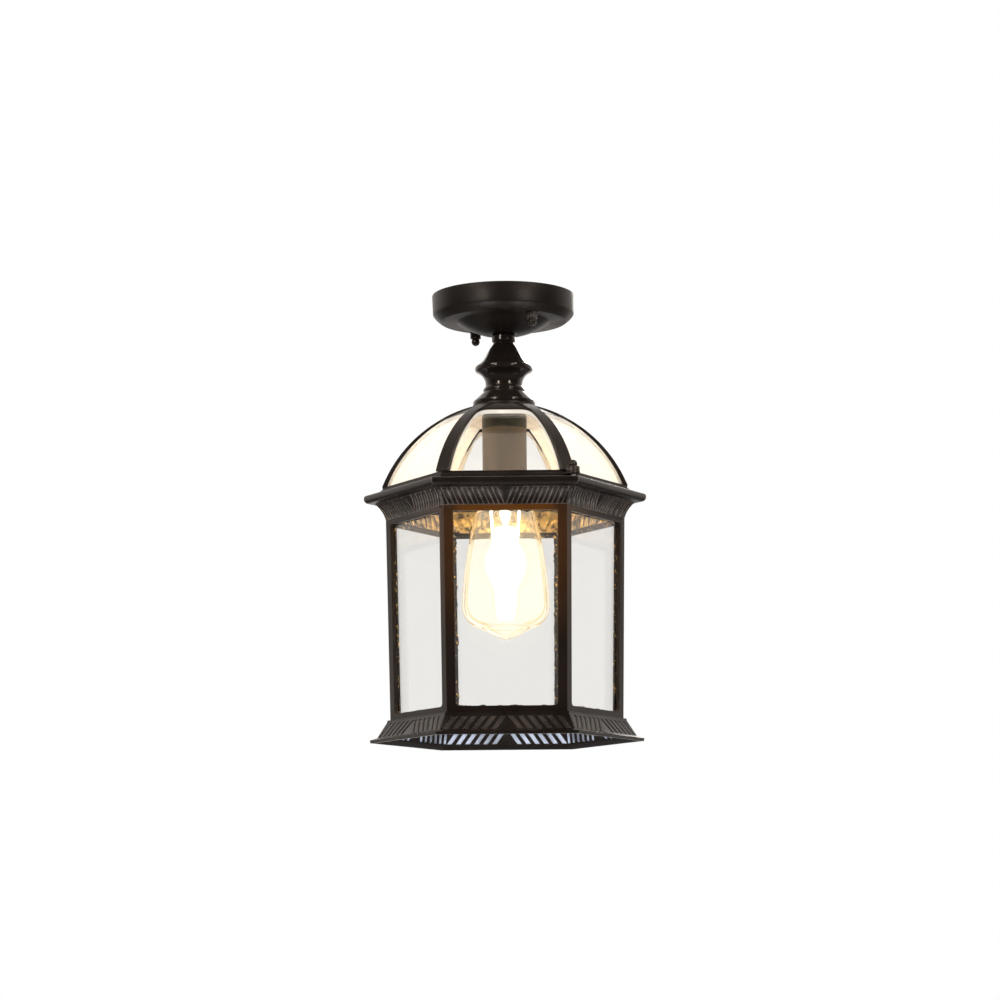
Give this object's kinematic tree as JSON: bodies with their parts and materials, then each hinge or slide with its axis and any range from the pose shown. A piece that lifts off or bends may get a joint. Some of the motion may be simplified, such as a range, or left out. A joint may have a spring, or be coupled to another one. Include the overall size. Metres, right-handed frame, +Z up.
{
  "type": "porch ceiling lantern",
  "caption": "Semi-flush outdoor lantern: round canopy, turned neck, ribbed glass dome, six-sided glazed cage with reeded cornice and skirt, open below, lit by a teardrop filament bulb.",
  "frame": {"origin": "centre of the canopy's rim, in the plane of the ceiling", "axes": "+Z up into the ceiling, so the lantern hangs towards -Z; -Y out of the front pane; +X to the right seen from the front, towards a corner of the cage"},
  "size_m": [0.2204, 0.1908, 0.3511],
  "materials": {
    "cast_bronze_finish": "dark bronze paint over cast metal, semi-gloss",
    "spun_bronze_finish": "dark bronze paint, semi-gloss",
    "nut_bronze_finish": "dark bronze finish, semi-gloss",
    "zinc_steel": "zinc plated",
    "ground_green": "green plating",
    "clear_glass": "clear, polished",
    "sealant": "dull, hand-laid bead",
    "socket_cup_metal": "satin",
    "socket_sleeve": "grey-brown, matt",
    "porcelain": "glazed",
    "contact_brass": "satin",
    "bulb_glass": "clear, faintly warm",
    "black_glass": "dull",
    "solder": "satin",
    "support_wire": "drawn wire",
    "filament": "glowing",
    "lead_black": "insulation",
    "lead_white": "insulation",
    "lead_green": "insulation",
    "connector": "moulded"
  },
  "bodies": {
    "lantern": {"canopy": "spun_bronze_finish", "mounting_crossbar": "zinc_steel", "canopy_studs": "zinc_steel", "stud_lock_nuts": "zinc_steel", "ground_screw": "ground_green", "stem_tube": "zinc_steel", "stem_washer": "zinc_steel", "stem_top_nut": "zinc_steel", "stem_bottom_nut": "zinc_steel", "stem_collar": "cast_bronze_finish", "neck_column": "cast_bronze_finish", "roof_frame": "cast_bronze_finish", "dome_sealant": "sealant", "cornice": "cast_bronze_finish", "cage_frame": "cast_bronze_finish", "side_sealant": "sealant", "base_skirt": "cast_bronze_finish", "cornice_screws": "zinc_steel", "skirt_screws": "zinc_steel", "roof_studs": "zinc_steel", "socket_cup": "socket_cup_metal", "socket_sleeve": "socket_sleeve", "socket_insulator": "porcelain", "screw_shell": "contact_brass", "centre_contact": "contact_brass", "terminal_screws": "contact_brass", "line_lead": "lead_black", "neutral_lead": "lead_white", "ground_lead": "lead_green", "wire_connectors": "connector", "dome_glass_1": "clear_glass", "side_glass_1": "clear_glass", "dome_glass_2": "clear_glass", "side_glass_2": "clear_glass", "dome_glass_3": "clear_glass", "side_glass_3": "clear_glass", "dome_glass_4": "clear_glass", "side_glass_4": "clear_glass", "dome_glass_5": "clear_glass", "side_glass_5": "clear_glass", "dome_glass_6": "clear_glass", "side_glass_6": "clear_glass"},
    "canopy_nut_front_screw_carrier": {"canopy_washer_front": "nut_bronze_finish"},
    "canopy_nut_front_screw": {"canopy_nut_front": "nut_bronze_finish"},
    "roof_nut_front_screw_carrier": {"roof_washer_front": "nut_bronze_finish"},
    "roof_nut_front_screw": {"roof_nut_front": "nut_bronze_finish"},
    "canopy_nut_rear_screw_carrier": {"canopy_washer_rear": "nut_bronze_finish"},
    "canopy_nut_rear_screw": {"canopy_nut_rear": "nut_bronze_finish"},
    "roof_nut_rear_screw_carrier": {"roof_washer_rear": "nut_bronze_finish"},
    "roof_nut_rear_screw": {"roof_nut_rear": "nut_bronze_finish"},
    "bulb_carrier": {"bulb_contact": "solder"},
    "bulb": {"bulb_cap": "contact_brass", "bulb_insulator": "black_glass", "bulb_glass": "bulb_glass", "bulb_stem": "bulb_glass", "bulb_filaments": "filament", "bulb_lead_wires": "support_wire", "bulb_top_wires": "support_wire"}
  },
  "joints": [
    {"name": "canopy_nut_front_screw_travel", "type": "slide", "parent": "lantern", "child": "canopy_nut_front_screw_carrier", "axis": [0, 0, -1], "range_m": [0, 0.007]},
    {"name": "canopy_nut_front_screw_turn", "type": "hinge", "parent": "canopy_nut_front_screw_carrier", "child": "canopy_nut_front_screw", "pos_m": [0.02223, -0.0385, 0], "axis": [0, 0, -1], "range_deg": [0, 3600]},
    {"name": "roof_nut_front_screw_travel", "type": "slide", "parent": "lantern", "child": "roof_nut_front_screw_carrier", "axis": [0, 0, 1], "range_m": [0, 0.0063]},
    {"name": "roof_nut_front_screw_turn", "type": "hinge", "parent": "roof_nut_front_screw_carrier", "child": "roof_nut_front_screw", "pos_m": [0.05125, -0.08877, 0], "axis": [0, 0, 1], "range_deg": [0, 3240]},
    {"name": "canopy_nut_rear_screw_travel", "type": "slide", "parent": "lantern", "child": "canopy_nut_rear_screw_carrier", "axis": [0, 0, -1], "range_m": [0, 0.007]},
    {"name": "canopy_nut_rear_screw_turn", "type": "hinge", "parent": "canopy_nut_rear_screw_carrier", "child": "canopy_nut_rear_screw", "pos_m": [-0.02223, 0.0385, 0], "axis": [0, 0, -1], "range_deg": [0, 3600]},
    {"name": "roof_nut_rear_screw_travel", "type": "slide", "parent": "lantern", "child": "roof_nut_rear_screw_carrier", "axis": [0, 0, 1], "range_m": [0, 0.0063]},
    {"name": "roof_nut_rear_screw_turn", "type": "hinge", "parent": "roof_nut_rear_screw_carrier", "child": "roof_nut_rear_screw", "pos_m": [-0.05125, 0.08877, 0], "axis": [0, 0, 1], "range_deg": [0, 3240]},
    {"name": "bulb_travel", "type": "slide", "parent": "lantern", "child": "bulb_carrier", "axis": [0, 0, -1], "range_m": [0, 0.01815]},
    {"name": "bulb_turn", "type": "hinge", "parent": "bulb_carrier", "child": "bulb", "pos_m": [0, 0, 0], "axis": [0, 0, -1], "range_deg": [0, 1800]}
  ],
  "couplings": [
    {"joint": "canopy_nut_front_screw_turn", "follows": "canopy_nut_front_screw_travel", "rad_per_m": 8976},
    {"joint": "roof_nut_front_screw_turn", "follows": "roof_nut_front_screw_travel", "rad_per_m": 8976},
    {"joint": "canopy_nut_rear_screw_turn", "follows": "canopy_nut_rear_screw_travel", "rad_per_m": 8976},
    {"joint": "roof_nut_rear_screw_turn", "follows": "roof_nut_rear_screw_travel", "rad_per_m": 8976},
    {"joint": "bulb_turn", "follows": "bulb_travel", "rad_per_m": 1731.4}
  ]
}
